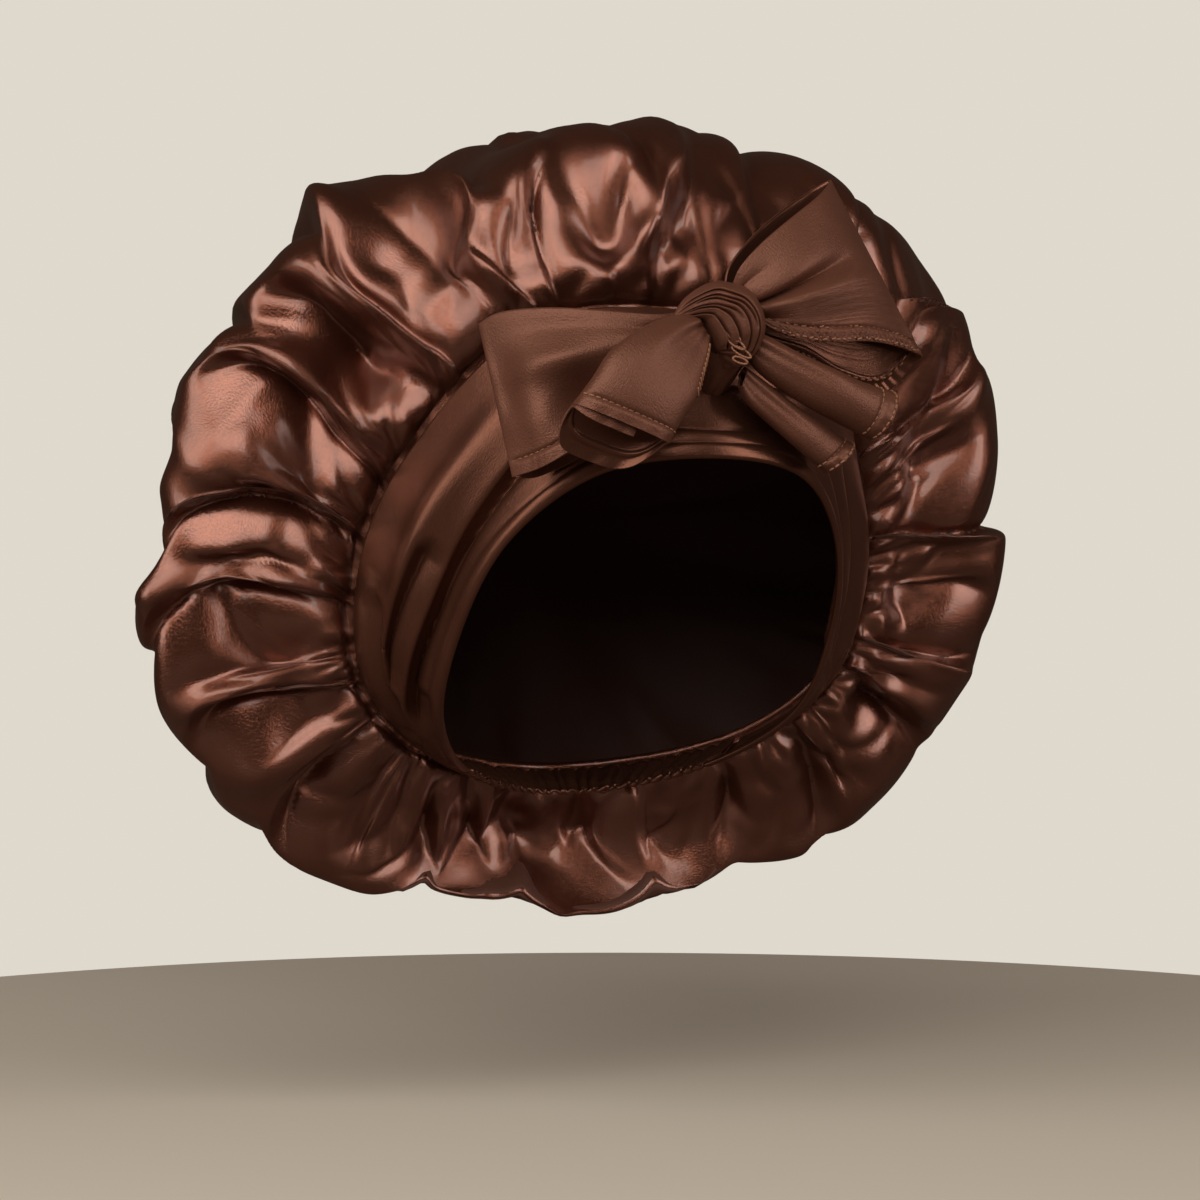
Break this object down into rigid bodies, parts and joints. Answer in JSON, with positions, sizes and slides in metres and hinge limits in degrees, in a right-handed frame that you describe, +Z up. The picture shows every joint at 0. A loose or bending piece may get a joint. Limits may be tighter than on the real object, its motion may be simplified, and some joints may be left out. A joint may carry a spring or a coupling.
{
  "type": "satin sleep bonnet",
  "caption": "Large puffed satin bonnet gathered onto a wide flared headband, with a narrow elastic casing at the nape and a bow tied at the forehead.",
  "frame": {"origin": "middle of the opening that the head goes into, between the forehead edge and the nape edge", "axes": "+Z up, -Y the way the wearer faces, +X to the wearer's left"},
  "size_m": [0.3579, 0.2848, 0.3204],
  "materials": {
    "satin": "glossy chocolate satin",
    "matte_side": "dull back of the same satin, fine grain"
  },
  "bodies": {
    "root": {"crown": "satin", "band": "matte_side", "nape_casing": "matte_side", "knot": "matte_side", "left_loop": "matte_side", "right_loop": "matte_side", "left_tail": "matte_side", "right_tail_upper": "matte_side", "right_tail_lower": "matte_side"}
  },
  "joints": []
}
